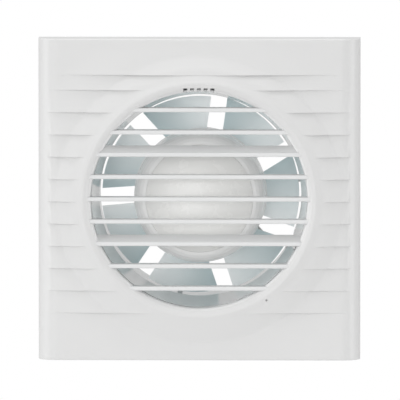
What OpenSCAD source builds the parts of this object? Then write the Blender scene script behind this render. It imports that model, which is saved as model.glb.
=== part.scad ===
// Bathroom extractor fan for a 100 mm duct: louvred front cover, casing with duct spigot,
// seven-blade impeller and a four-pole shaded-pole motor.
//
// Every part is drawn in a wall frame: x to the right, y up, z out of the wall into the room.
// on_wall() then turns it, so that the room is on the -Y side and the duct runs along +Y.
// The origin is on the fan's axis, in the plane of the wall.

/* [Front cover] */
// Width and height of the square front cover
cover_w = 150; // [148:1:156]
// Height of the cover's flat field above the wall
cover_h = 17; // [16.5:0.5:19]
// Radius that rounds the cover's left and right edges
cover_edge_r = 9; // [6:0.5:10]
// Wall thickness of the cover
cover_t = 1.8; // [1.5:0.1:1.9]
// Radius of the round air opening
aperture_r = 50.5; // [50:0.1:51]
// Rise of the domed ring round the air opening
dome_rise = 5; // [4:0.5:6]
// Distance from one louvre to the next
louvre_pitch = 10.4; // [10:0.1:10.8]
// Height of a louvre's lip above the cover's face
lip_h = 1.1; // [0.6:0.1:1.4]
// Thickness of a slat
slat_t = 1.9; // [1.2:0.1:2]

/* [Casing] */
// Width and height of the square tray behind the cover
tray_w = 138; // [136:1:139]
// Height of the tray's rim above the wall
tray_h = 13.5; // [13:0.5:13.5]
// Outer diameter of the duct spigot
duct_d = 99.4; // [99:0.1:99.8]
// Wall thickness of the duct
duct_t = 1; // [0.9:0.1:1.5]
// Length of the spigot behind the wall plane
duct_l = 62; // [60:1:80]
// Distance between the wall screws, both ways
wall_screw_pitch = 124; // [122:1:125]
// Radius of a wall screw's hole
wall_screw_r = 2.25; // [2:0.05:2.5]

/* [Impeller] */
// Number of blades
blades = 7; // [5:1:9]
// Radius at the blade tips
tip_r = 46.3; // [45:0.1:46.5]
// Radius of the hub
hub_r = 30.8; // [30.4:0.1:31.2]
// Gap between neighbouring blades, seen from the front
blade_gap = 7.5; // [6:0.1:10]
// Thickness of a blade
blade_t = 1.5; // [1.2:0.1:2]
// Angle of the first gap between blades at rest
gap_angle = 78.5; // [0:0.5:360]

/* [Motor] */
// Radius of the stator's core
stator_r = 27.5; // [27:0.1:28]
// Radius of the rotor
rotor_r = 11; // [10.5:0.1:11.1]
// Length of the laminated stack
stack_l = 16; // [14:0.5:16]
// Radius of the shaft
shaft_r = 2; // [1.8:0.05:2]

/* [Hidden] */
$fn = 64;

// Cover
cover_back = 0.5;                       // clearance between the cover's edge and the wall
dome_foot_r = 67;                       // where the dome leaves the flat face
dome_crest_r = 54.5;                    // where the dome is highest
dome_top = cover_h + dome_rise;
dome_roll = 4;                          // depth of the round edge into the opening
lip_end_z = 14.6;                       // rear end of the opening's collar
lip_t = 1.5;
field_half_w = 70.4;                    // half width of the louvred field
fade_start_r = 72;                      // the lips fade out from here
fade_end_r = 86;                        // to here
louvres_each_way = 5;
top_lip_y = 58.1;                       // one more lip above the regular ones
slat_front_z = 21;
slat_depth = 5.2;
slat_lift = 0.4;                        // the slats sit this much above the lips' lines
slats_each_way = 4;
deep_slat = 2;                          // the slats this far from the middle are deeper
deep_slat_rise = 3.2;
notch_pitch = 3.15;
notch_w = 1.9;
dimple = [31.5, -46.5];
peg_x = 62;
peg_y = 24;
peg_r = 2.2;
peg_end_z = 5;

// Casing
floor_t = 2.5;
rim_t = 2;
duct_r = duct_d / 2;
duct_in_r = duct_r - duct_t;
duct_front_z = 12.2;
mouth_r = aperture_r - 0.3;             // the duct's front end flares to this radius
throat_r = 47.3;                        // and narrows to this one round the blades
throat_z = [-34, -14];
flange_r = duct_r + 1.5;
seat_slope = 0.2;                       // the duct's seat widens by this much per mm
seat_start_z = -0.5;
seat_gap = 0.05;
boss_h = 12;
socket_clearance = 0.12;
strut_angles = [6, 158, 258];
strut_t = 2.2;
strut_z = [-58, -49];
spider_z = [-51, -47.5];
spider_r = 20;
mounting_angles = [135, 315];
mounting_r = 16;
lead_angle = -25.7;
lead_entry_angle = -33;
lead_r = 0.8;
cable_x = 57.5;
cable_y = -36;
cable_r = 3.5;
grommet_r = 5.5;
lid_z = [12.4, 13.9];
lid_x = [9.4, 66.5];
lid_y = [-66.5, -42];
lid_screw = [49, -60];
clamp_y = -48;
clamp_x = [49.5, 62.5];
block_x = [24, 42];
block_y = [-66, -53.5];
block_h = 8.8;
pole_y = [-63.2, -56.4];
pole_screw_x = [28.5, 37.5];

// Impeller and hub
hub_back_z = -32;
hub_shoulder_z = -5;                    // the hub is widest from here to its rear edge
hub_wall = 1.6;
hub_floor_z = 5.6;
blade_mid_z = -23.5;
cap_r = 25;
cap_gap = 0.15;
cap_seat_z = 7.2;
cap_top_z = 14.2;
cap_edge_z = 8.8;

// Motor, along the axis from front to rear
stack_z = [-20 - stack_l, -20];
bore_gap = 0.4;
stator_in_r = 22.5;
pole_w = 9;
shoe_r = 14.5;
shoe_half_angle = 38;
bell_front_z = -12;
bell_rear_z = -45.1;
bell_t = 1.5;
bush_r = 4;
tie_r = 25;
tie_screw_r = 1.25;

module on_wall() rotate([90, 0, 0]) children();

module ring(r_out, r_in, z0, z1) {
    translate([0, 0, z0]) difference() {
        cylinder(r = r_out, h = z1 - z0);
        translate([0, 0, -1]) cylinder(r = r_in, h = z1 - z0 + 2);
    }
}

// A ring's sector, from angle a0 over da degrees.
module sector(r_out, r_in, z0, z1, a0, da) {
    rotate([0, 0, a0]) rotate_extrude(angle = da)
        translate([r_in, z0]) square([r_out - r_in, z1 - z0]);
}

function arc_points(cx, cy, r, a0, a1, n) =
    [for (i = [0:n]) let (a = a0 + (a1 - a0) * i / n) [cx + r * cos(a), cy + r * sin(a)]];

function rounded_rect_points(x0, y0, x1, y1, r, n = 6) = concat(
    arc_points(x1 - r, y1 - r, r, 0, 90, n),
    arc_points(x0 + r, y1 - r, r, 90, 180, n),
    arc_points(x0 + r, y0 + r, r, 180, 270, n),
    arc_points(x1 - r, y0 + r, r, 270, 360, n));

module rounded_rect(x0, y0, x1, y1, r) polygon(rounded_rect_points(x0, y0, x1, y1, r));

module rounded_square(w, r) rounded_rect(-w / 2, -w / 2, w / 2, w / 2, r);

// A pan-head screw whose head sits on z = 0, with the shank below.
module pan_screw(head_r, head_h, shank_r, shank_l) {
    slot_w = head_r * 0.3;
    difference() {
        union() {
            cylinder(r1 = head_r, r2 = head_r * 0.72, h = head_h);
            translate([0, 0, -shank_l]) cylinder(r = shank_r, h = shank_l + 0.1);
        }
        for (a = [0, 90]) rotate([0, 0, a])
            translate([-head_r * 0.6, -slot_w / 2, head_h * 0.45]) cube([head_r * 1.2, slot_w, head_h]);
    }
}

// Front cover ---------------------------------------------------------------------------------

// Height of the domed ring above the wall at distance r from the axis.
function dome_z(r) =
    r >= dome_crest_r
    ? cover_h + dome_rise * min(1, max(0, (dome_foot_r - r) / (dome_foot_r - dome_crest_r)))
    : let (u = min(1, (dome_crest_r - r) / (dome_crest_r - aperture_r)))
        dome_top - dome_roll * (1 - sqrt(max(0, 1 - u * u)));

dome_stations = concat(
    [for (i = [0:6]) aperture_r + (dome_crest_r - aperture_r) * (1 - cos(i * 15))],
    [dome_foot_r]);

// The dome's underside, one wall thickness below its face.
dome_under = [for (r = dome_stations) if (r > aperture_r + lip_t) [r, dome_z(r) - cover_t]];

module cover_block(half, top, r, length) {
    profile = concat(
        [[-half, cover_back]],
        arc_points(-half + r, top - r, r, 180, 90, 8),
        arc_points(half - r, top - r, r, 90, 0, 8),
        [[half, cover_back]]);
    rotate([90, 0, 0]) linear_extrude(length, center = true) polygon(profile);
}

module cover_cavity() {
    translate([0, 0, -0.6])
        cover_block(cover_w / 2 - cover_t, cover_h - cover_t + 0.6, cover_edge_r - cover_t,
                    cover_w - 2 * cover_t);
}

module dome_ring() {
    outline = concat(
        [[aperture_r, lip_end_z]],
        [for (r = dome_stations) [r, dome_z(r)]],
        [[dome_foot_r + 0.5, cover_h], [dome_foot_r + 0.5, cover_h - cover_t]],
        [for (i = [len(dome_under) - 1:-1:0]) dome_under[i]],
        [[aperture_r + lip_t, dome_under[0][1]], [aperture_r + lip_t, lip_end_z]]);
    rotate_extrude() polygon(outline);
}

// The space under the dome, which the louvres' roots must stay out of.
module dome_hollow() {
    rotate_extrude() polygon(concat(
        [[0, 5], [0, dome_under[0][1]]], dome_under,
        [[dome_foot_r + 0.5, cover_h - cover_t], [dome_foot_r + 0.5, 5]]));
}

function louvre_y(k) = louvre_pitch * k - 0.9;

lip_ys = concat([for (k = [-louvres_each_way:louvres_each_way]) louvre_y(k)], [top_lip_y]);

// The stepped field: each face starts level at its top and ends in a lip at its lower edge.
module louvre_field() {
    low = cover_h - cover_t + 0.2;
    last = len(lip_ys) - 1;
    saw = concat(
        [[lip_ys[0], low]],
        [for (i = [0:last]) each [[lip_ys[i], cover_h + lip_h],
            [i < last ? lip_ys[i + 1] : lip_ys[i] + louvre_pitch, cover_h + (i < last ? 0 : -0.1)]]],
        [[lip_ys[last] + louvre_pitch, low]]);
    difference() {
        intersection() {
            rotate([90, 0, 90]) linear_extrude(2 * field_half_w, center = true) polygon(saw);
            rotate_extrude() polygon([
                [0, 10], [0, cover_h + 3], [fade_start_r, cover_h + lip_h],
                [fade_end_r, cover_h - 0.05], [fade_end_r, 10]]);
        }
        dome_hollow();
        translate([0, 0, 5]) cylinder(r = dome_crest_r, h = 20);
    }
}

// A slat lies across the opening; its top face climbs towards the rear by rise.
module slat(y0, rise) {
    difference() {
        intersection() {
            rotate([90, 0, 90]) linear_extrude(2 * aperture_r + 4, center = true) polygon([
                [y0, slat_front_z], [y0 + slat_t, slat_front_z],
                [y0 + slat_t + rise, slat_front_z - slat_depth],
                [y0 + rise, slat_front_z - slat_depth]]);
            cylinder(r = aperture_r + 1, h = 30);
        }
        rotate_extrude() polygon([
            [aperture_r - 0.01, dome_z(aperture_r) + 0.6], [aperture_r - 0.01, 26],
            [aperture_r + 3, 26], [aperture_r + 3, dome_z(aperture_r) + 0.6]]);
    }
}

module front_cover() {
    color("whitesmoke") difference() {
        union() {
            difference() {
                cover_block(cover_w / 2, cover_h, cover_edge_r, cover_w);
                cover_cavity();
                translate([0, 0, -1]) cylinder(r = dome_foot_r - 0.5, h = 40);
            }
            dome_ring();
            louvre_field();
            for (k = [-slats_each_way:slats_each_way])
                slat(louvre_y(k) + slat_lift, abs(k) == deep_slat ? deep_slat_rise : 0.25);
            for (x = [-peg_x, peg_x], y = [-peg_y, peg_y])
                translate([x, y, peg_end_z]) cylinder(r = peg_r, h = cover_h - 0.6 - peg_end_z);
        }
        // Row of five small notches over the opening
        for (i = [-2:2]) translate([i * notch_pitch - notch_w / 2, aperture_r - 1, lip_end_z - 1])
            cube([notch_w, 2.6, 12]);
        // Split in each peg's end
        for (x = [-peg_x, peg_x], y = [-peg_y, peg_y])
            translate([x - 0.4, y - peg_r - 1, peg_end_z - 1]) cube([0.8, 2 * peg_r + 2, 6]);
        // Pilot dimple on the ring's crest
        translate([dimple[0], dimple[1], dome_top - 0.9]) cylinder(r = 0.55, h = 3);
        // Pry notch in the lower edge
        translate([-7, -cover_w / 2 - 1, -1]) cube([14, cover_t + 2, 4]);
    }
}

// Casing --------------------------------------------------------------------------------------

module tray() {
    difference() {
        linear_extrude(floor_t) rounded_square(tray_w, 5);
        translate([0, 0, seat_start_z])
            cylinder(r1 = duct_r + seat_gap, r2 = duct_r + seat_gap + seat_slope * 5, h = 5);
    }
    linear_extrude(tray_h) difference() {
        rounded_square(tray_w, 5);
        rounded_square(tray_w - 2 * rim_t, 3);
    }
}

// The duct's tube: a slightly tapered seat goes through the tray's floor, the flange lies on the
// floor, and the inside is a cone from the mouth to the throat round the blades.
module tube() {
    rotate_extrude() polygon([
        [duct_in_r, -duct_l], [duct_r - 0.7, -duct_l], [duct_r, -duct_l + 3],
        [duct_r, seat_start_z], [duct_r + seat_slope * (floor_t - seat_start_z), floor_t],
        [flange_r, floor_t], [flange_r, floor_t + 1.5],
        [duct_r + 0.3, floor_t + 1.5], [mouth_r + 1, duct_front_z], [mouth_r, duct_front_z],
        [throat_r, throat_z[1]], [throat_r, throat_z[0]], [duct_in_r, throat_z[0] - 8]]);
}

module post(x, y, r, top) translate([x, y, floor_t - 0.5]) cylinder(r = r, h = top - floor_t + 0.5);

module wall_screw_places() {
    for (x = [-1, 1], y = [-1, 1]) translate([x, y] * wall_screw_pitch / 2) children();
}

// Three struts carry the spider plate that the motor is screwed to.
module spider() {
    for (a = strut_angles) rotate([0, 0, a])
        translate([spider_r - 3, -strut_t / 2, strut_z[0]])
            cube([duct_r - duct_t / 2 - spider_r + 3, strut_t, strut_z[1] - strut_z[0]]);
    ring(spider_r, 9, spider_z[0], spider_z[1]);
}

// Slot in the duct's front end that the motor leads lie in
module lead_slot() rotate([0, 0, lead_angle]) translate([throat_r - 1, -2.2, -14]) cube([5.4, 4.4, 30]);

// Groove that leads on from it through the throat
module lead_groove() rotate([0, 0, lead_angle - 1.45])
    translate([throat_r - 2, -3.4, -44]) cube([duct_in_r + 2.1 - throat_r, 6.8, 32]);

// The places of the two screws between the motor and the spider plate
module mounting_places(z) {
    for (a = mounting_angles) rotate([0, 0, a]) translate([mounting_r, 0, z]) children();
}

module duct() {
    color("white") difference() {
        union() {
            tube();
            spider();
        }
        lead_slot();
        lead_groove();
        mounting_places(spider_z[0] - 1) cylinder(r = 1.7, h = 6);
    }
}

module casing() {
    color("white") difference() {
        union() {
            tray();
            wall_screw_places() post(0, 0, 4.5, 5);
            for (x = [-peg_x, peg_x], y = [-peg_y, peg_y]) post(x, y, 4.2, boss_h);
            post(lid_screw[0], lid_screw[1], 3, boss_h);
            for (x = clamp_x) post(x, clamp_y, 2.8, 7);
            post((block_x[0] + block_x[1]) / 2, (block_y[0] + block_y[1]) / 2, 3.2, 3.2);
        }
        wall_screw_places() translate([0, 0, -1]) cylinder(r = wall_screw_r, h = 10);
        for (x = [-peg_x, peg_x], y = [-peg_y, peg_y])
            translate([x, y, 4]) cylinder(r = peg_r + socket_clearance, h = 10);
        translate([lid_screw[0], lid_screw[1], 4]) cylinder(r = 1.3, h = 10);
        for (x = clamp_x) translate([x, clamp_y, 1]) cylinder(r = 1.3, h = 10);
        translate([(block_x[0] + block_x[1]) / 2, (block_y[0] + block_y[1]) / 2, 0.8])
            cylinder(r = 1.3, h = 5);
        translate([cable_x, cable_y, -1]) cylinder(r = grommet_r, h = 5);
        lead_slot();
    }
}

// Lid of the wiring compartment, cut round so that it stays clear of the duct's mouth
module terminal_cover() {
    color("white") difference() {
        union() {
            translate([0, 0, lid_z[0]]) linear_extrude(lid_z[1] - lid_z[0])
                rounded_rect(lid_x[0], lid_y[0], lid_x[1], lid_y[1], 2.4);
            // Locating ribs against the tray's rim
            for (x = [15, 58]) translate([x - 4, lid_y[0], lid_z[0] - 2]) cube([8, 1.2, 2.2]);
        }
        translate([0, 0, lid_z[0] - 3]) cylinder(r = flange_r, h = 6);
        translate([lid_screw[0], lid_screw[1], lid_z[0] - 1]) cylinder(r = 1.7, h = 4);
    }
}

module terminal_cover_screw() {
    color("silver") translate([lid_screw[0], lid_screw[1], lid_z[1]]) pan_screw(2.6, 1.1, 1.25, 8);
}

module terminal_block() {
    mid_x = (block_x[0] + block_x[1]) / 2;
    mid_y = (block_y[0] + block_y[1]) / 2;
    color("gainsboro") difference() {
        translate([0, 0, 3.3]) linear_extrude(block_h - 0.8) difference() {
            rounded_rect(block_x[0], block_y[0], block_x[1], block_y[1], 0.8);
            translate([block_x[0] - 1, mid_y - 0.5]) square([4, 1]);
            translate([block_x[1] - 3, mid_y - 0.5]) square([4, 1]);
        }
        for (y = pole_y) {
            translate([block_x[0] - 1, y, 6]) rotate([0, 90, 0]) cylinder(r = 2.1, h = 20);
            for (x = pole_screw_x) translate([x, y, 6]) cylinder(r = 1.9, h = 10);
        }
        translate([mid_x, mid_y, 0]) cylinder(r = 1.35, h = 20);
        translate([mid_x, mid_y, 9]) cylinder(r = 2.3, h = 20);
    }
}

module terminal_clamps() {
    color("goldenrod") for (y = pole_y) difference() {
        translate([block_x[0] + 2, y, 6]) rotate([0, 90, 0]) cylinder(r = 2.05, h = 14);
        translate([block_x[0] + 1, y, 6]) rotate([0, 90, 0]) cylinder(r = 1.3, h = 16);
        for (x = pole_screw_x) translate([x, y, 6]) cylinder(r = 1.3, h = 5);
    }
}

module terminal_screws() {
    color("silver") for (y = pole_y, x = pole_screw_x) translate([x, y, 0]) difference() {
        union() {
            translate([0, 0, 6.9]) cylinder(r = 1.2, h = 2);
            translate([0, 0, 8.4]) cylinder(r = 1.8, h = 1.8);
        }
        translate([-2, -0.25, 9.5]) cube([4, 0.5, 2]);
    }
}

module terminal_block_screw() {
    color("silver") translate([(block_x[0] + block_x[1]) / 2, (block_y[0] + block_y[1]) / 2, 9])
        pan_screw(2.1, 1.3, 1.25, 7.5);
}

// Bar that holds the mains cable down on the casing's two posts
module cable_clamp() {
    color("white") difference() {
        translate([0, 0, 7]) linear_extrude(3)
            rounded_rect(clamp_x[0] - 3.2, clamp_y - 3, clamp_x[1] + 3.2, clamp_y + 3, 2.8);
        translate([(clamp_x[0] + clamp_x[1]) / 2, clamp_y, 4.8]) rotate([90, 0, 0])
            cylinder(r = cable_r, h = 12, center = true);
        for (x = clamp_x) translate([x, clamp_y, 6]) cylinder(r = 1.5, h = 6);
    }
}

module cable_clamp_screws() {
    color("silver") for (x = clamp_x) translate([x, clamp_y, 10]) pan_screw(2.4, 1.3, 1.25, 8);
}

module cable_grommet() {
    color("dimgray") translate([cable_x, cable_y, 0]) rotate_extrude() polygon([
        [cable_r, 0], [grommet_r - 0.05, 0], [grommet_r - 0.05, floor_t + 0.05],
        [7.3, floor_t + 0.05], [7.3, 4.2], [cable_r + 1.2, 6], [cable_r, 6]]);
}

// Motor leads ---------------------------------------------------------------------------------

function unit(v) = v / norm(v);
function at_angle(a, u, v, z) = [u * cos(a) - v * sin(a), u * sin(a) + v * cos(a), z];

// Route of one lead from its terminal to the motor: side is -1 for live and 1 for neutral.
function lead_route(side) = let (v = -1.05 * side, live = side < 0) concat(
    live
    ? [[25.2, pole_y[1], 6], [22.4, pole_y[1], 6], [20.6, -55.2, 5.6], [20.9, -52.6, 4.9], [23.4, -49.9, 4.5]]
    : [[25.2, pole_y[0], 6], [21.5, pole_y[0], 6], [17.8, -61.2, 5.6], [16.4, -57, 5.2],
       [17.2, -52.6, 4.7], [20.5, -48.6, 4.6]],
    [for (a = [-60:9:-33]) at_angle(a, 53.4 - 1.1 * side, 0, 4.4)],
    live
    ? [at_angle(lead_angle, 53.9, -1.2, 4.4), at_angle(lead_angle, 52.2, v, 4)]
    : [at_angle(lead_angle, 51.9, -2, 4.8), at_angle(lead_angle, 50.6, v, 3.9)],
    [at_angle(lead_angle, 49.4, v, 2), at_angle(lead_angle, 48.85, v, -2),
     at_angle(lead_angle, 48.3, v, -8), at_angle(lead_angle, 47.7, v, -14),
     at_angle(lead_angle - 1.6, 47.7, v, -30), at_angle(lead_angle - 2.9, 47.5, v, -40),
     at_angle(-31, 46.2, v, -44.3), at_angle(-35, 43, v, -45), at_angle(-37, 38, v, -45),
     at_angle(-36, 33, v, -44.6), at_angle(-34, 29.5, v, -42.4),
     at_angle(lead_entry_angle, 26.5, v, -41.2), at_angle(lead_entry_angle, 24, v, -41)]);

// Catmull-Rom point between b and c.
function spline_point(a, b, c, d, t) = 0.5 * (2 * b + (c - a) * t
    + (2 * a - 5 * b + 4 * c - d) * t * t + (3 * b - a - 3 * c + d) * t * t * t);
function smooth_route(p, n) = let (last = len(p) - 1) concat(
    [for (i = [0:last - 1], j = [0:n - 1])
        spline_point(p[max(0, i - 1)], p[i], p[i + 1], p[min(last, i + 2)], j / n)],
    [p[last]]);

function tangents(p) = let (last = len(p) - 1)
    [for (i = [0:last]) unit(p[min(last, i + 1)] - p[max(0, i - 1)])];
function carried(n, t) = unit(n - (n * t) * t);

module tube_along(p, r, sides) {
    t = tangents(p);
    count = len(p);
    start = carried([0.2, 1, 0.3], t[0]);
    normals = [for (i = 0, n = start; i < count; i = i + 1, n = i < count ? carried(n, t[i]) : n) n];
    points = [for (i = [0:count - 1], s = [0:sides - 1]) let (a = 360 * s / sides)
        p[i] + r * (cos(a) * normals[i] + sin(a) * cross(t[i], normals[i]))];
    walls = [for (i = [0:count - 2], s = [0:sides - 1]) let (
        a = i * sides + s, b = i * sides + (s + 1) % sides, c = a + sides, d = b + sides)
        each [[a, c, b], [b, c, d]]];
    first = [for (s = [1:sides - 2]) [0, s, s + 1]];
    top = (count - 1) * sides;
    end = [for (s = [1:sides - 2]) [top, top + s + 1, top + s]];
    polyhedron(points, concat(walls, first, end));
}

module motor_lead_live() color("saddlebrown") tube_along(smooth_route(lead_route(-1), 2), lead_r, 8);
module motor_lead_neutral() color("royalblue") tube_along(smooth_route(lead_route(1), 2), lead_r, 8);

// Motor ---------------------------------------------------------------------------------------

module stator_core() {
    color("slategray") difference() {
        union() {
            ring(stator_r, stator_in_r, stack_z[0], stack_z[1]);
            for (a = [0:90:270]) rotate([0, 0, a]) {
                translate([shoe_r - 1, -pole_w / 2, stack_z[0]])
                    cube([stator_in_r + 1 - shoe_r + 0.6, pole_w, stack_l]);
                sector(shoe_r, rotor_r + bore_gap, stack_z[0], stack_z[1],
                    -shoe_half_angle, 2 * shoe_half_angle);
            }
        }
        // Slots of the shading rings
        for (a = [0:90:270]) sector(13.7, rotor_r - 1, stack_z[0] - 1, stack_z[1] + 1, a + 20.5, 6);
        for (a = [45:90:315]) rotate([0, 0, a])
            translate([tie_r, 0, stack_z[0] - 1]) cylinder(r = tie_screw_r + 0.1, h = stack_l + 2);
    }
}

// A rectangular frame round a pole's neck, between radii u0 and u1.
module pole_frame(u0, u1, inner_w, inner_h, outer_w, outer_h, corner) {
    mid_z = (stack_z[0] + stack_z[1]) / 2;
    translate([u0, 0, mid_z]) rotate([90, 0, 90]) linear_extrude(u1 - u0) difference() {
        rounded_rect(-outer_w / 2, -outer_h / 2, outer_w / 2, outer_h / 2, corner);
        square([inner_w, inner_h], center = true);
    }
}

module coil_bobbins() {
    neck_w = pole_w + 0.3;
    neck_h = stack_l + 0.3;
    color("ivory") for (a = [0:90:270]) rotate([0, 0, a]) {
        pole_frame(15.1, 15.7, neck_w, neck_h, 17, 24, 2);
        pole_frame(15.6, 20, neck_w, neck_h, neck_w + 1.2, neck_h + 1.2, 0.4);
        pole_frame(19.9, 20.5, neck_w, neck_h, 17, 24, 2);
    }
}

module coil_windings() {
    color("peru") for (a = [0:90:270]) rotate([0, 0, a])
        pole_frame(15.75, 19.85, pole_w + 1.6, stack_l + 1.6, 16.2, 23.2, 3);
}

module shading_rings() {
    color("chocolate") for (a = [0:90:270]) {
        for (z = [stack_z[0] - 1, stack_z[1] + 0.1]) sector(13.4, 11.9, z, z + 0.9, a + 21.2, 22.6);
        for (leg = [21.8, 39.2]) sector(13.2, 12.1, stack_z[0] - 0.6, stack_z[1] + 0.6, a + leg, 4);
    }
}

module thermal_fuse() {
    color("black") translate([18.5, -5, stack_z[0] - 5.6]) rotate([-90, 0, 0]) {
        cylinder(r = 1.3, h = 10);
        translate([0, 0, -1.5]) cylinder(r = 0.4, h = 13);
    }
}

// An end bell: cup from the stack's face to a disc, with a pocket for the bush in its middle.
// It is drawn for the front, with its disc's outer face on z = 0 and the stack below it.
module end_bell(depth) {
    difference() {
        union() {
            rotate_extrude() polygon([
                [stator_r - 1.6, -depth], [stator_r - 0.1, -depth], [stator_r - 0.1, -1.5],
                [stator_r - 1.6, 0], [8, 0], [8, 3.2], [3.2, 3.2], [3.2, 2.2], [6.8, 2.2],
                [6.8, -bell_t], [stator_r - 1.6, -bell_t]]);
        }
        for (a = [0:90:270]) sector(22.6, 10.5, -bell_t - 1, 1, a - 24, 48);
        for (a = [45:90:315]) rotate([0, 0, a])
            translate([tie_r, 0, -depth - 1]) cylinder(r = tie_screw_r + 0.1, h = depth + 3);
    }
}

module front_end_bell() {
    color("silver") translate([0, 0, bell_front_z]) end_bell(bell_front_z - stack_z[1]);
}

module rear_end_bell() {
    color("silver") difference() {
        union() {
            translate([0, 0, bell_rear_z]) mirror([0, 0, 1]) end_bell(stack_z[0] - bell_rear_z);
            mounting_places(spider_z[1]) cylinder(r = 3.4, h = bell_rear_z - spider_z[1] + 0.5);
        }
        mounting_places(-50) cylinder(r = 1.55, h = 12);
        rotate([0, 0, lead_entry_angle]) translate([stator_r - 4, -2.2, -43.4]) cube([6, 4.4, 4.6]);
    }
}

bush_z = [bell_front_z - 0.6, bell_rear_z + 0.6];

module bush() {
    difference() {
        intersection() {
            sphere(r = bush_r);
            cylinder(r = bush_r + 1, h = 6, center = true);
        }
        cylinder(r = shaft_r + 0.03, h = 10, center = true);
    }
}

module front_bush() color("darkgoldenrod") translate([0, 0, bush_z[0]]) bush();
module rear_bush() color("darkgoldenrod") translate([0, 0, bush_z[1]]) bush();

module front_oil_felt() color("wheat") ring(6.7, 4.05, bell_front_z - 1.4, bell_front_z + 2.1);
module rear_oil_felt() color("wheat") ring(6.7, 4.05, bell_rear_z - 2.1, bell_rear_z + 1.4);

// Spring plate that holds a bush in its pocket
module bush_retainer(z0) {
    difference() {
        ring(9.6, 3.96, z0, z0 + 0.5);
        for (a = [0:60:300]) rotate([0, 0, a]) translate([3, -0.5, z0 - 1]) cube([3.4, 1, 3]);
    }
}

module front_bush_retainer() color("silver") bush_retainer(bell_front_z - bell_t - 0.52);
module rear_bush_retainer() color("silver") bush_retainer(bell_rear_z + bell_t + 0.02);

module tie_places() {
    for (a = [45:90:315]) rotate([0, 0, a]) translate([tie_r, 0, 0]) children();
}

module motor_tie_screws() {
    length = bell_front_z - bell_rear_z + 3.4;
    color("silver") tie_places() translate([0, 0, bell_front_z]) pan_screw(2.3, 1.4, tie_screw_r, length);
}

module motor_tie_nuts() {
    color("silver") tie_places() translate([0, 0, bell_rear_z - 1.9]) difference() {
        cylinder(r = 2.6, h = 1.9, $fn = 6);
        translate([0, 0, -1]) cylinder(r = tie_screw_r + 0.02, h = 4);
    }
}

module motor_mounting_screws() {
    color("silver") mounting_places(spider_z[0]) mirror([0, 0, 1]) pan_screw(2.9, 1.6, 1.5, 7);
}

// Rotor ---------------------------------------------------------------------------------------

module shaft() {
    color("silver") difference() {
        translate([0, 0, -48.5]) cylinder(r = shaft_r, h = 58.5);
        translate([shaft_r - 0.4, -shaft_r, -7]) cube([2, 2 * shaft_r, 20]);
    }
}

module rotor_core() color("slategray") ring(rotor_r, shaft_r + 0.02, stack_z[0], stack_z[1]);

module rotor_end_rings() {
    color("lightgray") {
        ring(rotor_r - 0.5, 5.5, stack_z[1], stack_z[1] + 2.4);
        ring(rotor_r - 0.5, 5.5, stack_z[0] - 2.4, stack_z[0]);
    }
}

module thrust_washers() {
    color("ivory") {
        ring(3.8, shaft_r + 0.02, stack_z[1] + 0.05, -16.1);
        ring(3.8, shaft_r + 0.02, -41, stack_z[0] - 0.05);
        ring(4, shaft_r + 0.02, -8.2, -6.6);
    }
}

// Impeller ------------------------------------------------------------------------------------

blade_root_r = hub_r - hub_wall / 2;
blade_mid_r = (hub_r + tip_r) / 2;
blade_sweep = 3.7;                      // lean of the gaps away from the radius, in degrees
blade_front_edge = [-17, 6.5];          // chord's ends: tangential offset and height
blade_rear_edge = [17, -5.5];
blade_camber = 3.4;

// Point at distance d along the edge beside the gap on the side s of a blade that points along +X.
function gap_side(s, d) = let (a = s * 180 / blades, lean = a + blade_sweep)
    blade_mid_r * [cos(a), sin(a)] + (d - blade_mid_r) * [cos(lean), sin(lean)]
        - s * blade_gap / 2 * [-sin(lean), cos(lean)];

// A blade is a slice of a cylindrical shell, which runs outwards and is cut to the outline.
module blade() {
    chord = blade_rear_edge - blade_front_edge;
    half = norm(chord) / 2;
    bend_r = (half * half + blade_camber * blade_camber) / (2 * blade_camber);
    front = [-chord[1], chord[0]] / (2 * half);
    centre = (blade_front_edge + blade_rear_edge) / 2 - front * (bend_r - blade_camber);
    intersection() {
        rotate([90, 0, 90]) linear_extrude(60) intersection() {
            difference() {
                translate(centre) circle(r = bend_r + blade_t / 2);
                translate(centre) circle(r = bend_r - blade_t / 2);
            }
            translate([-20, -12]) square([40, 26]);
        }
        ring(tip_r, blade_root_r, -20, 20);
        translate([0, 0, -20]) linear_extrude(40)
            polygon([gap_side(-1, 20), gap_side(-1, 60), gap_side(1, 60), gap_side(1, 20)]);
    }
}

// Part of an ellipse that rises inwards from the hub's wall, and meets the cap's dome at its slope
shoulder_end = 77;
function shoulder_points(r_out, r_in, top) =
    [for (i = [0:6]) let (a = i * shoulder_end / 6)
        [r_out - (r_out - r_in) * (1 - cos(a)) / (1 - cos(shoulder_end)),
         hub_shoulder_z + (top - hub_shoulder_z) * sin(a) / sin(shoulder_end)]];

// Cup of the hub, which reaches back over the motor and has a seat for the cap
module hub_cup() {
    inner = shoulder_points(hub_r - hub_wall, cap_r - 0.5, hub_floor_z);
    rotate_extrude() polygon(concat(
        [[hub_r - hub_wall, hub_back_z], [hub_r, hub_back_z]],
        shoulder_points(hub_r, cap_r + cap_gap, cap_edge_z - 0.05),
        [[cap_r + cap_gap, cap_seat_z], [3, cap_seat_z], [3, hub_floor_z]],
        [for (i = [len(inner) - 1:-1:0]) inner[i]]));
}

module impeller() {
    color("lightsteelblue") difference() {
        union() {
            hub_cup();
            translate([0, 0, -6.5]) cylinder(r = 4.5, h = cap_seat_z + 6.5);
            for (a = [0:60:300]) rotate([0, 0, a + 30])
                translate([4, -0.6, -1]) cube([22, 1.2, hub_floor_z + 1.4]);
            for (i = [0:blades - 1]) rotate([0, 0, gap_angle + (i + 0.5) * 360 / blades])
                translate([0, 0, blade_mid_z]) blade();
        }
        translate([0, 0, -10]) cylinder(r = shaft_r + 0.02, h = 30);
        for (a = [0:120:240]) rotate([0, 0, a]) translate([15, 0, 0]) cylinder(r = 2.4, h = 10);
    }
}

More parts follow.
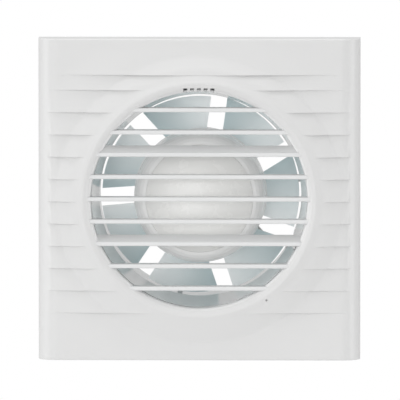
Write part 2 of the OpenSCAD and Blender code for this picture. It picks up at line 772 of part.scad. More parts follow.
// Domed cap over the impeller's hub, held by three pegs
module hub_cap() {
    rise = cap_top_z - cap_edge_z;
    dome_r = (cap_r * cap_r + rise * rise) / (2 * rise);
    half = asin(cap_r / dome_r);
    top = [for (i = [0:10]) let (a = half * (1 - i / 10))
        [dome_r * sin(a), cap_top_z - dome_r * (1 - cos(a))]];
    under = [for (i = [10:-1:1]) [top[i][0] * 0.94, top[i][1] - 1.5]];
    color("whitesmoke") {
        rotate_extrude() polygon(concat(
            [[cap_r, cap_seat_z + 0.05]], top, under,
            [[cap_r - 1.6, cap_edge_z - 0.9], [cap_r - 1.6, cap_seat_z + 0.05]]));
        for (a = [0:120:240]) rotate([0, 0, a]) translate([15, 0, 4]) cylinder(r = 2.1, h = 7.6);
    }
}

module impeller_lock_ring() color("silver") ring(5.2, shaft_r + 0.03, cap_seat_z + 0.05, cap_seat_z + 0.75);

// Assembly ------------------------------------------------------------------------------------

on_wall() front_cover();
on_wall() casing();
on_wall() duct();
on_wall() terminal_cover();
on_wall() terminal_cover_screw();
on_wall() terminal_block();
on_wall() terminal_clamps();
on_wall() terminal_screws();
on_wall() terminal_block_screw();
on_wall() cable_clamp();
on_wall() cable_clamp_screws();
on_wall() cable_grommet();
on_wall() motor_lead_live();
on_wall() motor_lead_neutral();
on_wall() stator_core();
on_wall() coil_bobbins();
on_wall() coil_windings();
on_wall() shading_rings();
on_wall() thermal_fuse();
on_wall() front_end_bell();
on_wall() rear_end_bell();
on_wall() front_bush();
on_wall() rear_bush();
on_wall() front_oil_felt();
on_wall() rear_oil_felt();
on_wall() front_bush_retainer();
on_wall() rear_bush_retainer();
on_wall() motor_tie_screws();
on_wall() motor_tie_nuts();
on_wall() motor_mounting_screws();
on_wall() impeller();
on_wall() hub_cap();
on_wall() impeller_lock_ring();
on_wall() shaft();
on_wall() rotor_core();
on_wall() rotor_end_rings();
on_wall() thrust_washers();
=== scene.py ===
"""Bathroom extractor fan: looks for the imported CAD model, in the row frame, in metres."""

import math

import bmesh
import bpy
import numpy as np
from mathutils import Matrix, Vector


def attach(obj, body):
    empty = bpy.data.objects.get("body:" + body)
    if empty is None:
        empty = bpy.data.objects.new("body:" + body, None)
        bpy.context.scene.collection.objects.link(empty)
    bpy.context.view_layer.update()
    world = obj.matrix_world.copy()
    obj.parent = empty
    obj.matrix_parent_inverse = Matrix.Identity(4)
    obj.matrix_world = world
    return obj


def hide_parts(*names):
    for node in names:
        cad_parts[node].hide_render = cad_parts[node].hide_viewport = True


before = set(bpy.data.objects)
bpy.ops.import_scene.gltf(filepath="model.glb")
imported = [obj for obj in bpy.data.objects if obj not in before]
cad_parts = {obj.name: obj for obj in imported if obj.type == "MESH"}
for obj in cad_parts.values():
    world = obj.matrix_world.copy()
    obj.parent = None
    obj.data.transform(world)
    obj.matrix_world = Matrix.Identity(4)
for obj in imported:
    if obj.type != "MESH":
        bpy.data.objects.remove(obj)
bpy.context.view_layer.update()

MM = 0.001


# Shapes are worked out in millimetres in the wall's frame (right, up, out of the wall),
# which the row frame holds as (x, -y, z).
def to_row(points):
    p = np.asarray(points, float)
    return np.stack([p[..., 0], -p[..., 2], p[..., 1]], -1) * MM


# ---------------------------------------------------------------------------------- materials

PLASTIC_IOR = 1.53
PLAIN_GRAIN = 300.0             # noise scale of an unworked metal
BLADES = 7
GAP_ANGLE = 78.5                # a gap between blades, in degrees, seen from the front
# Beyond these radii the impeller is painted grey, as painted shade on its blades.
HUB_EDGE = (0.0309, 0.0314)     # radii between which the hub's white gives way to the grey


def new_material(name):
    mat = bpy.data.materials.new(name)
    mat.use_nodes = True
    nodes = mat.node_tree.nodes
    return mat, nodes, mat.node_tree.links, nodes["Principled BSDF"]


def object_coordinates(nodes):
    return nodes.new("ShaderNodeTexCoord").outputs["Object"]


def noise(nodes, links, vector, scale, detail=3.0, rough=0.5):
    n = nodes.new("ShaderNodeTexNoise")
    n.inputs["Scale"].default_value = scale
    n.inputs["Detail"].default_value = detail
    n.inputs["Roughness"].default_value = rough
    links.new(vector, n.inputs["Vector"])
    return n.outputs["Fac"]


def spread(nodes, links, value, low, high, from_low=0.3, from_high=0.7):
    m = nodes.new("ShaderNodeMapRange")
    limits = {"From Min": from_low, "From Max": from_high, "To Min": low, "To Max": high}
    for socket, number in limits.items():
        m.inputs[socket].default_value = number
    links.new(value, m.inputs["Value"])
    return m.outputs["Result"]


def blend_colours(nodes, links, value, low, high, positions=(0.3, 0.7)):
    ramp = nodes.new("ShaderNodeValToRGB")
    ramp.color_ramp.elements[0].position, ramp.color_ramp.elements[1].position = positions
    ramp.color_ramp.elements[0].color = (*low, 1)
    ramp.color_ramp.elements[1].color = (*high, 1)
    links.new(value, ramp.inputs["Fac"])
    return ramp.outputs["Color"]


def bump(nodes, links, height, strength, distance, normal=None):
    b = nodes.new("ShaderNodeBump")
    b.inputs["Strength"].default_value = strength
    b.inputs["Distance"].default_value = distance
    links.new(height, b.inputs["Height"])
    if normal is not None:
        links.new(normal, b.inputs["Normal"])
    return b.outputs["Normal"]


def math_node(nodes, links, operation, a, b=None):
    m = nodes.new("ShaderNodeMath")
    m.operation = operation
    for i, value in enumerate((a, b)):
        if value is None:
            continue
        if isinstance(value, (int, float)):
            m.inputs[i].default_value = value
        else:
            links.new(value, m.inputs[i])
    return m.outputs[0]


def from_axis(nodes, links, where):
    """Distance from the fan's axis, in metres."""
    split = nodes.new("ShaderNodeSeparateXYZ")
    links.new(where, split.inputs["Vector"])
    squares = [math_node(nodes, links, "MULTIPLY", split.outputs[i], split.outputs[i]) for i in (0, 2)]
    return math_node(nodes, links, "SQRT", math_node(nodes, links, "ADD", *squares))


def mix_colours(nodes, links, factor, a, b):
    mix = nodes.new("ShaderNodeMix")
    mix.data_type = "RGBA"
    links.new(factor, mix.inputs["Factor"])
    for socket, value in ((mix.inputs[6], a), (mix.inputs[7], b)):
        if isinstance(value, tuple):
            socket.default_value = (*value, 1)
        else:
            links.new(value, socket)
    return mix.outputs[2]


def moulded(name, colour, roughness=0.3, vary=0.012, peel=0.08, coat=0.0, through=0.0,
            gloss_level=0.5, inner=None):
    """Injection-moulded plastic: faint cloudiness, uneven gloss and a fine orange peel.
    inner gives a paler colour near the axis, painted light that lifts the shade there, and the radii
    between which it fades out."""
    mat, nodes, links, shader = new_material(name)
    where = object_coordinates(nodes)
    cloud = noise(nodes, links, where, 38.0, 2.0)
    low = [c * (1 - vary) for c in colour]
    high = [min(1.0, c * (1 + vary)) for c in colour]
    clouded = blend_colours(nodes, links, cloud, low, high)
    # Painted light: paler colour towards the axis, lifting the shade on the surfaces there.
    if inner:
        painted_light_fade = spread(nodes, links, from_axis(nodes, links, where), 0.0, 1.0, inner[1], inner[2])
        clouded = mix_colours(nodes, links, painted_light_fade, inner[0], clouded)
    links.new(clouded, shader.inputs["Base Color"])
    gloss = noise(nodes, links, where, 160.0, 4.0, 0.6)
    links.new(spread(nodes, links, gloss, roughness * 0.88, roughness * 1.14), shader.inputs["Roughness"])
    fine = noise(nodes, links, where, 1400.0, 2.0)
    links.new(bump(nodes, links, fine, peel, 0.00005), shader.inputs["Normal"])
    shader.inputs["IOR"].default_value = PLASTIC_IOR
    shader.inputs["Specular IOR Level"].default_value = gloss_level
    if coat:
        shader.inputs["Coat Weight"].default_value = coat
        shader.inputs["Coat Roughness"].default_value = 0.12
    if through:
        shader.inputs["Subsurface Weight"].default_value = through
        shader.inputs["Subsurface Radius"].default_value = (1.0, 0.95, 0.9)
        shader.inputs["Subsurface Scale"].default_value = 0.0012
    return mat


def impeller_with_painted_shade(name, hub_colour, light, dark):
    """White hub, and blades painted grey as painted shade, each paler at its lit front edge and darker at
    its shaded rear edge.
    """
    mat, nodes, links, shader = new_material(name)
    where = object_coordinates(nodes)
    split = nodes.new("ShaderNodeSeparateXYZ")
    links.new(where, split.inputs["Vector"])
    x, z = split.outputs[0], split.outputs[2]
    angle = math_node(nodes, links, "ARCTAN2", z, x)
    turns = math_node(nodes, links, "MULTIPLY", angle, BLADES / (2 * math.pi))
    from_gap = math_node(nodes, links, "SUBTRACT", turns, BLADES * GAP_ANGLE / 360 - BLADES)
    place = math_node(nodes, links, "FRACT", from_gap)
    cloud = spread(nodes, links, noise(nodes, links, where, 60.0), -0.03, 0.03)
    clouded = math_node(nodes, links, "ADD", place, cloud)
    # Painted shade: a gradient across each blade, pale at its lit front edge and dark at its shaded rear
    # edge.
    blades = blend_colours(nodes, links, clouded, light, dark, (0.08, 0.92))
    # Past the hub's edge the blades take this painted grey shade.
    outside = spread(nodes, links, from_axis(nodes, links, where), 0.0, 1.0, *HUB_EDGE)
    colour = mix_colours(nodes, links, outside, hub_colour, blades)
    links.new(colour, shader.inputs["Base Color"])
    # Painted light: the colour also glows faintly (emission 0.1), though the impeller is no lamp.
    links.new(colour, shader.inputs["Emission Color"])
    shader.inputs["Emission Strength"].default_value = 0.1
    gloss = noise(nodes, links, where, 160.0, 4.0, 0.6)
    links.new(spread(nodes, links, gloss, 0.2, 0.27), shader.inputs["Roughness"])
    fine = noise(nodes, links, where, 1400.0, 2.0)
    links.new(bump(nodes, links, fine, 0.05, 0.00005), shader.inputs["Normal"])
    shader.inputs["IOR"].default_value = PLASTIC_IOR
    return mat


def metal(name, colour, roughness=0.35, vary=0.08, grain=(PLAIN_GRAIN,) * 3, depth=0.15, tint=None):
    """Bare or plated metal with a grain; grain gives its fineness along each axis."""
    mat, nodes, links, shader = new_material(name)
    where = object_coordinates(nodes)
    stretch = nodes.new("ShaderNodeMapping")
    stretch.inputs["Scale"].default_value = [g / PLAIN_GRAIN for g in grain]
    links.new(where, stretch.inputs["Vector"])
    lines = noise(nodes, links, stretch.outputs["Vector"], PLAIN_GRAIN, 4.0, 0.6)
    patches = noise(nodes, links, where, 90.0, 3.0)
    low = [c * (1 - vary) for c in colour]
    high = [min(1.0, c * (1 + vary)) for c in (tint or colour)]
    links.new(blend_colours(nodes, links, patches, low, high), shader.inputs["Base Color"])
    links.new(spread(nodes, links, lines, roughness * 0.8, roughness * 1.25), shader.inputs["Roughness"])
    links.new(bump(nodes, links, lines, depth, 0.00004), shader.inputs["Normal"])
    shader.inputs["Metallic"].default_value = 1.0
    return mat


def banded(name, low, high, pitch, axes, roughness, metallic, depth):
    """Fine parallel layers, such as laminations or turns of wire, along the largest of the axes."""
    mat, nodes, links, shader = new_material(name)
    where = object_coordinates(nodes)
    split = nodes.new("ShaderNodeSeparateXYZ")
    links.new(where, split.inputs["Vector"])
    along = [math_node(nodes, links, "ABSOLUTE", split.outputs[a]) for a in axes]
    place = along[0] if len(along) == 1 else math_node(nodes, links, "MAXIMUM", along[0], along[1])
    turn = math_node(nodes, links, "MULTIPLY", place, 1.0 / pitch)
    saw = math_node(nodes, links, "FRACT", turn)
    wave = math_node(nodes, links, "SINE", math_node(nodes, links, "MULTIPLY", saw, math.pi))
    rough_noise = noise(nodes, links, where, 400.0, 3.0)
    mixed = math_node(nodes, links, "MULTIPLY", wave, spread(nodes, links, rough_noise, 0.75, 1.0))
    links.new(blend_colours(nodes, links, mixed, low, high, (0.05, 0.9)), shader.inputs["Base Color"])
    gloss = spread(nodes, links, rough_noise, roughness * 0.85, roughness * 1.15)
    links.new(gloss, shader.inputs["Roughness"])
    links.new(bump(nodes, links, wave, depth, pitch * 0.4), shader.inputs["Normal"])
    shader.inputs["Metallic"].default_value = metallic
    return mat


def felted(name, colour):
    mat, nodes, links, shader = new_material(name)
    where = object_coordinates(nodes)
    fibres = noise(nodes, links, where, 2200.0, 5.0, 0.75)
    low = [c * 0.55 for c in colour]
    links.new(blend_colours(nodes, links, fibres, low, colour), shader.inputs["Base Color"])
    links.new(bump(nodes, links, fibres, 0.9, 0.0002), shader.inputs["Normal"])
    links.new(spread(nodes, links, fibres, 0.75, 0.95), shader.inputs["Roughness"])
    shader.inputs["Sheen Weight"].default_value = 0.4
    return mat


WHITE = (0.59, 0.59, 0.588)
M = {
    "cover": moulded("abs_cover", WHITE, 0.34, vary=0.004, peel=0.03, gloss_level=0.2),
    # Painted light: the opening's collar and roll are painted paler (0.84) inside 50.5 to 51.7 mm of the
    # axis, lifting the shade they sit in.
    "ring": moulded("abs_ring", WHITE, 0.34, vary=0.004, peel=0.03, gloss_level=0.2,
                    inner=((0.84, 0.84, 0.84), 0.0505, 0.0517)),
    "slats": moulded("abs_slats", (0.61, 0.615, 0.615), 0.34, vary=0.004, peel=0.03, gloss_level=0.3),
    "casing": moulded("abs_casing", (0.78, 0.79, 0.79), 0.3),
    "duct": moulded("abs_duct", (0.74, 0.755, 0.755), 0.13, peel=0.02, coat=0.6),
    "lid": moulded("abs_lid", (0.80, 0.80, 0.80), 0.3),
    "hub": moulded("abs_hub", (0.80, 0.80, 0.785), 0.26, vary=0.004, peel=0.02, gloss_level=0.45),
    # Impeller: white hub, with the blades' pale and dark tones as painted light and painted shade.
    "impeller": impeller_with_painted_shade("abs_impeller", (0.82, 0.82, 0.815),
                                  (0.885, 0.925, 0.93), (0.57, 0.68, 0.70)),
    "zinc": metal("zinc_plate", (0.60, 0.61, 0.62), 0.34, tint=(0.66, 0.65, 0.60)),
    "screw": metal("screw_zinc", (0.66, 0.67, 0.69), 0.28),
    "shaft": metal("ground_steel", (0.70, 0.71, 0.72), 0.16, grain=(40.0, 900.0, 40.0), depth=0.08),
    "laminations": banded("laminations", (0.10, 0.10, 0.11), (0.42, 0.43, 0.45),
                          0.0005, (1,), 0.42, 0.9, 0.5),
    "winding": banded("enamelled_wire", (0.22, 0.07, 0.02), (0.72, 0.30, 0.12),
                      0.00034, (0, 2), 0.3, 0.75, 0.9),
    "copper": metal("bare_copper", (0.72, 0.38, 0.24), 0.3, tint=(0.60, 0.32, 0.22)),
    "bronze": metal("sintered_bronze", (0.45, 0.31, 0.16), 0.5, depth=0.5),
    "brass": metal("terminal_brass", (0.72, 0.56, 0.26), 0.3),
    "aluminium": metal("cast_aluminium", (0.70, 0.71, 0.72), 0.42, depth=0.35),
    "bobbin": moulded("nylon_bobbin", (0.74, 0.70, 0.60), 0.42, through=0.3),
    "terminal": moulded("nylon_terminal", (0.72, 0.73, 0.71), 0.42, through=0.3),
    "washer": moulded("nylon_washer", (0.72, 0.71, 0.66), 0.45),
    "felt": felted("oiled_felt", (0.50, 0.42, 0.28)),
    "rubber": moulded("grommet_rubber", (0.035, 0.035, 0.037), 0.62, peel=0.4),
    "sleeve": moulded("lead_sleeve", (0.70, 0.70, 0.685), 0.5),
    "fuse": moulded("fuse_sleeve", (0.02, 0.02, 0.022), 0.5),
}

NODE_LOOKS = {
    "casing": "casing", "duct": "duct", "terminal_cover": "lid", "terminal_cover_screw": "screw",
    "terminal_block": "terminal", "terminal_clamps": "brass", "terminal_screws": "screw",
    "terminal_block_screw": "screw", "cable_clamp": "lid", "cable_clamp_screws": "screw",
    "cable_grommet": "rubber", "motor_lead_live": "sleeve", "motor_lead_neutral": "sleeve",
    "stator_core": "laminations", "coil_bobbins": "bobbin", "coil_windings": "winding",
    "shading_rings": "copper", "thermal_fuse": "fuse", "front_end_bell": "zinc",
    "rear_end_bell": "zinc", "front_bush": "bronze", "rear_bush": "bronze",
    "front_oil_felt": "felt", "rear_oil_felt": "felt", "front_bush_retainer": "zinc",
    "rear_bush_retainer": "zinc", "motor_tie_screws": "screw", "motor_tie_nuts": "screw",
    "motor_mounting_screws": "screw", "impeller": "impeller", "hub_cap": "hub",
    "impeller_lock_ring": "zinc", "shaft": "shaft", "rotor_core": "laminations",
    "rotor_end_rings": "aluminium", "thrust_washers": "washer", "front_cover": "cover",
}
for node, look in NODE_LOOKS.items():
    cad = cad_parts[node]
    cad.data.materials.clear()
    cad.data.materials.append(M[look])


# --------------------------------------------------------------------------------- mesh making


def smooth(mesh, sharp_degrees):
    mesh.polygons.foreach_set("use_smooth", np.ones(len(mesh.polygons), bool))
    mesh.set_sharp_from_angle(angle=math.radians(sharp_degrees))


def make_piece(name, verts, faces, look, body, sharp_degrees=40):
    mesh = bpy.data.meshes.new(name)
    mesh.from_pydata(np.asarray(verts).tolist(), [], faces)
    bm = bmesh.new()
    bm.from_mesh(mesh)
    bmesh.ops.remove_doubles(bm, verts=bm.verts, dist=1e-6)
    loose = [v for v in bm.verts if not v.link_faces]
    bmesh.ops.delete(bm, geom=loose, context="VERTS")
    bmesh.ops.recalc_face_normals(bm, faces=bm.faces)
    bm.to_mesh(mesh)
    bm.free()
    mesh.materials.append(M[look])
    smooth(mesh, sharp_degrees)
    obj = bpy.data.objects.new(name, mesh)
    bpy.context.scene.collection.objects.link(obj)
    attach(obj, body)
    return obj


def grid_faces(rows, cols, start=0, closed=False, skip=None):
    """Quads of a rows x cols grid of points; closed joins the last column to the first."""
    out = []
    for i in range(rows - 1):
        for j in range(cols if closed else cols - 1):
            if skip is not None and skip(i, j):
                continue
            k = (j + 1) % cols
            out.append((start + i * cols + j, start + i * cols + k,
                        start + (i + 1) * cols + k, start + (i + 1) * cols + j))
    return out


def revolve(outline, count):
    """Points and faces of a closed (radius, height) outline turned round the axis."""
    a = np.linspace(0, 2 * math.pi, count, endpoint=False)
    r, h = np.array(outline, float).T
    pts = np.stack([np.outer(r, np.cos(a)), np.outer(r, np.sin(a)), np.outer(h, np.ones(count))], -1)
    faces = grid_faces(len(r), count, closed=True)
    last = (len(r) - 1) * count
    faces += [(last + j, last + (j + 1) % count, (j + 1) % count, j) for j in range(count)]
    return pts.reshape(-1, 3), faces


# --------------------------------------------------------------------------------- front cover

HALF = 75.0             # half of the cover's width
FACE = 17.0             # height of its flat field above the wall
BACK = 0.5              # its rear edge
EDGE_R = 9.0            # rounding of its left and right edges
END_R = 0.7             # rounding of its top and bottom edges
WALL = 1.8
APERTURE = 50.5         # radius of the opening
CREST_R, FOOT_R = 54.5, 67.0    # the ring's highest circle, and where it rises from the field
RISE, ROLL = 5.0, 4.0   # the crest's height above the field, and its drop to the opening's edge
COLLAR = 14.6           # height of the opening's inner edge
SEAM_R = 56.6           # the ring of revolution meets the louvred field here
PITCH = 10.4            # from one louvre to the next
LIP = 1.1               # how far a lip stands out
LIP_ROUND = 0.28
FIELD = 70.4            # the lips stop at this distance from the middle line
SLAT_LIFT = 0.4         # the slats sit this much above the lips' lines
SLAT_DEPTH = 5.2
LOUVRE_YS = [PITCH * k - 0.9 for k in range(-5, 6)]
LIP_YS = [*LOUVRE_YS, 58.1]     # with one more lip above the regular ones


def ease(x, low, high):
    t = np.clip((x - low) / (high - low), 0, 1)
    return t * t * (3 - 2 * t)


def quarter(distance, radius):
    """Drop of a rounded edge, for a point that many mm inside its border."""
    d = np.clip(radius - distance, 0, radius)
    return radius - np.sqrt(np.maximum(0, radius * radius - d * d))


def dome(r):
    """Height of the ring above the flat field: a shallow cone, then a roll into the opening."""
    t = (FOOT_R - r) / (FOOT_R - CREST_R)
    soft = 0.04
    outside = RISE * np.where(t < soft, np.maximum(0, t + soft) ** 2 / (4 * soft), t)
    u = np.clip((CREST_R - r) / (CREST_R - APERTURE), 0, 1)
    inside = RISE - ROLL * (1 - np.sqrt(np.maximum(0, 1 - u * u)))
    return np.where(r >= CREST_R, outside, inside)


def base_height(x, y):
    """Height of the cover's outer face, without the lips."""
    side = quarter(HALF - np.abs(x), EDGE_R)
    ends = quarter(HALF - np.abs(y), END_R)
    return FACE - side - ends + dome(np.hypot(x, y))


def lip_depth(x, y):
    """Height of a lip, which fades out at the ring, at the corners and at the field's sides."""
    r = np.hypot(x, y)
    near, far = ease(r, SEAM_R, 62), ease(r, 68, 88)
    return LIP * near * (1 - far) * (1 - ease(np.abs(x), FIELD - 1.2, FIELD))


def columns():
    """Positions across the cover, closer together on its rounded edges."""
    inner = np.linspace(-66, 66, 190)
    edge = HALF - EDGE_R * (1 - np.sin(np.linspace(0, math.pi / 2, 13)[1:]))
    edge = np.concatenate([np.linspace(66, FIELD, 9)[1:], edge[edge > FIELD + 0.1]])
    return np.concatenate([-edge[::-1], inner, edge])


def snapped(x, y):
    """Points inside the seam's circle move out onto it."""
    r = np.hypot(x, y)
    k = np.where(r < SEAM_R, SEAM_R / np.maximum(r, 1e-6), 1.0)
    return x * k, y * k, r < SEAM_R - 1e-9


def cover_field():
    """Outer skin of the cover outside the ring: one grid per band between two louvre lips."""
    xs = columns()
    cols = len(xs)
    near_end = [0.0, 0.05, 0.15, 0.3, 0.5, 0.8]
    borders = [-HALF, *LIP_YS, HALF]
    verts, faces, rim = [], [], {"low": None, "high": None, "left": [], "right": []}
    start, above = 0, None
    for band, (low, high) in enumerate(zip(borders[:-1], borders[1:])):
        lipped = band > 0
        ys = list(low + np.array([0, 0.03, 0.08, 0.15, 0.22, LIP_ROUND, 0.5])) if lipped else \
            [low + d for d in near_end]
        tail = [] if band < len(borders) - 2 else [high - d for d in near_end[::-1]]
        stop = tail[0] if tail else high
        count = max(3, int((stop - ys[-1]) / 0.85) + 1)
        ys += list(np.linspace(ys[-1], stop, count)[1:])
        ys += tail[1:]
        grid_x, grid_y = np.meshgrid(xs, ys)
        x, y, inside = snapped(grid_x, grid_y)
        h = base_height(x, y)
        if lipped:
            depth = lip_depth(x, y)
            t = np.clip((high - y) / (high - low), 0, 1)
            rounded = quarter(y - low, LIP_ROUND) * np.clip(depth / LIP_ROUND, 0, 1)
            h = h + depth * t - rounded * (y < low + LIP_ROUND)
        rows = len(ys)
        verts.append(np.stack([x, y, h], -1).reshape(-1, 3))
        hidden = lambda i, j: inside[i:i + 2, j:j + 2].all()
        faces += grid_faces(rows, cols, start, skip=hidden)
        if above is not None:
            top_start, top_h, top_inside = above
            for j in range(cols - 1):
                gap = max(abs(top_h[j] - h[0, j]), abs(top_h[j + 1] - h[0, j + 1]))
                if gap > 1e-4 and not (top_inside[j] and top_inside[j + 1]):
                    faces.append((top_start + j, top_start + j + 1, start + j + 1, start + j))
        if band == 0:
            rim["low"] = [start + j for j in range(cols)]
        rim["left"] += [start + i * cols for i in range(rows)]
        rim["right"] += [start + i * cols + cols - 1 for i in range(rows)]
        above = (start + (rows - 1) * cols, h[-1], inside[-1])
        start += rows * cols
    rim["high"] = [start - cols + j for j in range(cols)]
    return np.concatenate(verts), faces, rim


def skirt(verts, faces, rims, level):
    """Walls from the rims down to the level."""
    verts = list(map(tuple, verts))
    for rim in rims:
        lower = {}
        for a in rim:
            lower[a] = len(verts)
            verts.append((verts[a][0], verts[a][1], level))
        for a, b in zip(rim[:-1], rim[1:]):
            if verts[a][:2] != verts[b][:2]:
                faces.append((a, b, lower[b], lower[a]))
    return np.array(verts), faces


def cover_inside():
    """Inner skin of the cover, one wall thickness behind the outer one, with no louvres."""
    half = HALF - WALL
    xs = np.concatenate([[-half, -half + 0.6, -half + 2, -half + 4], np.linspace(-66, 66, 67),
                         [half - 4, half - 2, half - 0.6, half]])
    ys = np.concatenate([[-half], np.linspace(-72, 72, 73), [half]])
    grid_x, grid_y = np.meshgrid(xs, ys)
    x, y, inside = snapped(grid_x, grid_y)
    h = FACE - WALL - quarter(half - np.abs(x), EDGE_R - WALL) + dome(np.hypot(x, y))
    rows, cols = x.shape
    verts = np.stack([x, y, h], -1).reshape(-1, 3)
    faces = grid_faces(rows, cols, skip=lambda i, j: inside[i:i + 2, j:j + 2].all())
    rims = [list(range(cols)), list(range((rows - 1) * cols, rows * cols)),
            list(range(0, rows * cols, cols)), list(range(cols - 1, rows * cols, cols))]
    return skirt(verts, faces, rims, BACK)


def rear_edge():
    """Flat rear edge between the outer and inner walls."""
    out, inn = HALF, HALF - WALL
    corners = [(-1, -1), (1, -1), (1, 1), (-1, 1)]
    verts = [(sx * reach, sy * reach, BACK) for reach in (out, inn) for sx, sy in corners]
    faces = [(i, (i + 1) % 4, 4 + (i + 1) % 4, 4 + i) for i in range(4)]
    return np.array(verts, float), faces


def joined(*parts):
    verts, faces, start = [], [], 0
    for v, f in parts:
        verts.append(np.asarray(v, float))
        faces += [tuple(start + i for i in face) for face in f]
        start += len(v)
    return np.concatenate(verts), faces


def cover_ring():
    """The ring round the opening: outer face, roll into the opening, collar and underside."""
    roll = [APERTURE + (CREST_R - APERTURE) * (1 - math.cos(math.radians(a))) for a in range(0, 91, 5)]
    slope = list(np.linspace(CREST_R, SEAM_R, 4)[1:])
    radii = roll + slope
    level = [FACE + float(dome(r)) for r in radii]
    edge = SEAM_R + 0.25
    edge_level = FACE + float(dome(edge))
    under = [(r, h - WALL) for r, h in zip(radii, level) if r > APERTURE + 1.5][::-1]
    outline = [(APERTURE, COLLAR + 0.3), (APERTURE, 17.0), (APERTURE, 18.0), *zip(radii, level),
               (edge, edge_level - 0.02), (edge, edge_level - WALL), *under,
               (APERTURE + 1.5, under[-1][1]), (APERTURE + 1.5, COLLAR + 0.2),
               (APERTURE + 1.3, COLLAR), (APERTURE + 0.3, COLLAR)]
    return revolve(outline, 360)


def slat_piece(bottom, rise):
    """A slat across the opening; its cross-section is (up, height) and its top climbs to the rear."""
    thick, front, nose = 1.9, 21.0, 0.42
    depth = SLAT_DEPTH
    back = front - depth
    section = []
    for a in range(0, 91, 15):      # upper front corner
        c, s = math.cos(math.radians(a)), math.sin(math.radians(a))
        section.append((bottom + thick - nose + nose * c, front - nose + nose * s))
    for a in range(90, 181, 15):    # lower front corner
        c, s = math.cos(math.radians(a)), math.sin(math.radians(a))
        section.append((bottom + nose + nose * c, front - nose + nose * s))
    for f in (0.35, 0.7, 0.97):
        section.append((bottom + rise * f, front - depth * f))
    section.append((bottom + rise + 0.15, back))
    section.append((bottom + rise + thick - 0.15, back))
    for f in (0.97, 0.7, 0.35):
        section.append((bottom + thick + rise * f, front - depth * f))
    stations = np.linspace(-1, 1, 41)       # the ends run further into the ring at the front
    verts = []
    for u in stations:
        for y, h in section:
            reach = np.interp(h, [18.3, front], [APERTURE + 0.7, APERTURE + 2.4])
            verts.append((u * math.sqrt(reach * reach - y * y), y, h))
    n = len(section)
    faces = grid_faces(len(stations), n, closed=True)
    faces += [tuple(range(n)), tuple(range((len(stations) - 1) * n, len(stations) * n))[::-1]]
    return np.array(verts), faces


def peg_piece(x, y):
    """One of the cover's four push-fit pegs, with a chamfered tip and a split."""
    radius = 2.2
    half_ring = [(radius * math.cos(a), radius * math.sin(a)) for a in np.linspace(-1.385, 1.385, 20)]
    levels = [(5.0, 0.82), (5.5, 1.0), (11.0, 1.0), (FACE - 0.6, 1.0)]
    faces = grid_faces(len(levels), len(half_ring), closed=True) + [tuple(range(len(half_ring)))]
    halves = []
    for side in (-1, 1):
        verts = [(x + side * max(0.4, c * k), y + s * k, h) for h, k in levels for c, s in half_ring]
        halves.append((verts, faces))
    return joined(*halves)


def cut(obj, cutter_parts):
    """Cuts the joined closed shapes out of obj, and leaves no modifier behind."""
    verts, faces = joined(*cutter_parts)
    mesh = bpy.data.meshes.new("cutter")
    mesh.from_pydata(to_row(verts).tolist(), [], faces)
    bm = bmesh.new()
    bm.from_mesh(mesh)
    bmesh.ops.recalc_face_normals(bm, faces=bm.faces)
    bm.to_mesh(mesh)
    bm.free()
    cutter = bpy.data.objects.new("cutter", mesh)
    bpy.context.scene.collection.objects.link(cutter)
    mod = obj.modifiers.new("cut", "BOOLEAN")
    mod.operation, mod.solver, mod.object = "DIFFERENCE", "EXACT", cutter
    bpy.context.view_layer.update()
    result = bpy.data.meshes.new_from_object(obj.evaluated_get(bpy.context.evaluated_depsgraph_get()))
    obj.modifiers.clear()
    look = obj.data.materials[0]
    obj.data = result
    obj.data.materials.clear()
    obj.data.materials.append(look)
    bpy.data.objects.remove(cutter)
    smooth(obj.data, 40)


def block(x0, x1, y0, y1, h0, h1):
    verts = [(x, y, h) for h in (h0, h1) for y in (y0, y1) for x in (x0, x1)]
    return verts, [(0, 1, 3, 2), (4, 5, 7, 6), (0, 1, 5, 4), (2, 3, 7, 6), (0, 2, 6, 4), (1, 3, 7, 5)]


def build_cover():
    verts, faces, rim = cover_field()
    outer = skirt(verts, faces, [rim["low"], rim["high"], rim["left"], rim["right"]], BACK)
    verts, faces = joined(outer, cover_inside(), rear_edge())
    skin = make_piece("cover_skin", to_row(verts), faces, "cover", "cover", 32)
    verts, faces = cover_ring()
    ring = make_piece("cover_ring", to_row(verts), faces, "ring", "cover", 40)
    step, half_width = 3.15, 0.95
    notches = [block(i * step - half_width, i * step + half_width, APERTURE - 1, APERTURE + 1.7, 13, 26)
               for i in range(-2, 3)]
    dimple_verts, dimple_faces = revolve([(0.001, 20.6), (0.55, 20.6), (0.55, 26), (0.001, 26)], 24)
    cut(ring, [*notches, (dimple_verts + np.array([31.5, -46.5, 0]), dimple_faces)])
    slats = joined(*[slat_piece(LOUVRE_YS[k + 5] + SLAT_LIFT, 3.2 if abs(k) == 2 else 0.25)
                     for k in range(-4, 5)])
    bars = make_piece("cover_slats", to_row(slats[0]), slats[1], "slats", "cover", 40)
    pegs = joined(*[peg_piece(x, y) for x in (-62, 62) for y in (-24, 24)])
    posts = make_piece("cover_pegs", to_row(pegs[0]), pegs[1], "cover", "cover", 40)
    for piece in (skin, ring, bars, posts):
        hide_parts("front_cover")


build_cover()


# ----------------------------------------------------------------------- camera, light, stage

DISTANCE = 4.5
ASPECT_MM = 186.1       # width of the view at the cover's face


def build_camera():
    target = Vector((0, -FACE * MM, 0))
    right, up = math.radians(1.15), math.radians(4.3)
    away = Vector((math.sin(right) * math.cos(up), -math.cos(right) * math.cos(up), math.sin(up)))
    data = bpy.data.cameras.new("camera")
    data.sensor_width = 36.0
    data.lens = 36.0 * DISTANCE / (ASPECT_MM * MM)
    data.shift_x, data.shift_y = 0.0024, -0.0003
    data.clip_start, data.clip_end = 0.1, 60.0
    camera = bpy.data.objects.new("camera", data)
    camera.location = target + away * DISTANCE
    camera.rotation_euler = (-away).to_track_quat("-Z", "Y").to_euler()
    bpy.context.scene.collection.objects.link(camera)
    bpy.context.scene.camera = camera


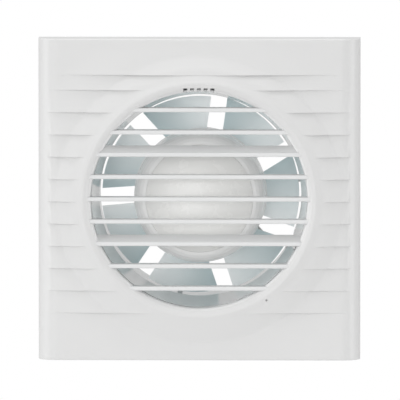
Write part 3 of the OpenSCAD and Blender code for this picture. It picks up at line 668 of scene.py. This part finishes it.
def area_light(name, place, size, power):
    """Square soft light that faces the fan."""
    data = bpy.data.lights.new(name, "AREA")
    data.size = size
    data.energy = power
    light = bpy.data.objects.new(name, data)
    light.location = place
    middle = Vector((0, 0, 0))
    light.rotation_euler = (middle - Vector(place)).to_track_quat("-Z", "Y").to_euler()
    bpy.context.scene.collection.objects.link(light)
    light.visible_camera = False
    return light


def build_world():
    world = bpy.data.worlds.new("studio")
    bpy.context.scene.world = world
    world.use_nodes = True
    nodes, links = world.node_tree.nodes, world.node_tree.links
    background = nodes["Background"]
    background.inputs["Color"].default_value = (1, 1, 1, 1)
    background.inputs["Strength"].default_value = 0.62
    plain = nodes.new("ShaderNodeBackground")
    plain.inputs["Color"].default_value = (1, 1, 1, 1)
    plain.inputs["Strength"].default_value = 1.0
    path = nodes.new("ShaderNodeLightPath")
    mix = nodes.new("ShaderNodeMixShader")
    links.new(path.outputs["Is Camera Ray"], mix.inputs["Fac"])
    links.new(background.outputs["Background"], mix.inputs[1])
    links.new(plain.outputs["Background"], mix.inputs[2])
    links.new(mix.outputs["Shader"], nodes["World Output"].inputs["Surface"])


def build_floor():
    mesh = bpy.data.meshes.new("floor")
    z, r = -0.3, 0.9
    mesh.from_pydata([(-r, -r, z), (r, -r, z), (r, r, z), (-r, r, z)], [], [(0, 1, 2, 3)])
    mat, nodes, links, shader = new_material("floor_paper")
    where = object_coordinates(nodes)
    cloud = noise(nodes, links, where, 6.0)
    paper = blend_colours(nodes, links, cloud, (0.86, 0.86, 0.86), (0.88, 0.88, 0.88))
    links.new(paper, shader.inputs["Base Color"])
    shader.inputs["Roughness"].default_value = 0.8
    mesh.materials.append(mat)
    floor = bpy.data.objects.new("floor", mesh)
    bpy.context.scene.collection.objects.link(floor)


build_camera()
build_world()
build_floor()
area_light("front_light", (-0.9, -3.2, 0.15), 2.2, 28)
area_light("high_light", (0.1, -1.6, 2.0), 1.8, 8)
area_light("top_light", (0.0, 0.0, 2.0), 1.0, 19)
area_light("left_light", (-2.8, -0.9, 0.4), 1.2, 31)
area_light("right_light", (2.8, -0.9, -0.1), 1.2, 23)
rear = area_light("rear_light", (0.0, 2.2, 0.0), 0.7, 10)
rear.visible_glossy = False
bpy.context.scene.view_settings.view_transform = "Standard"
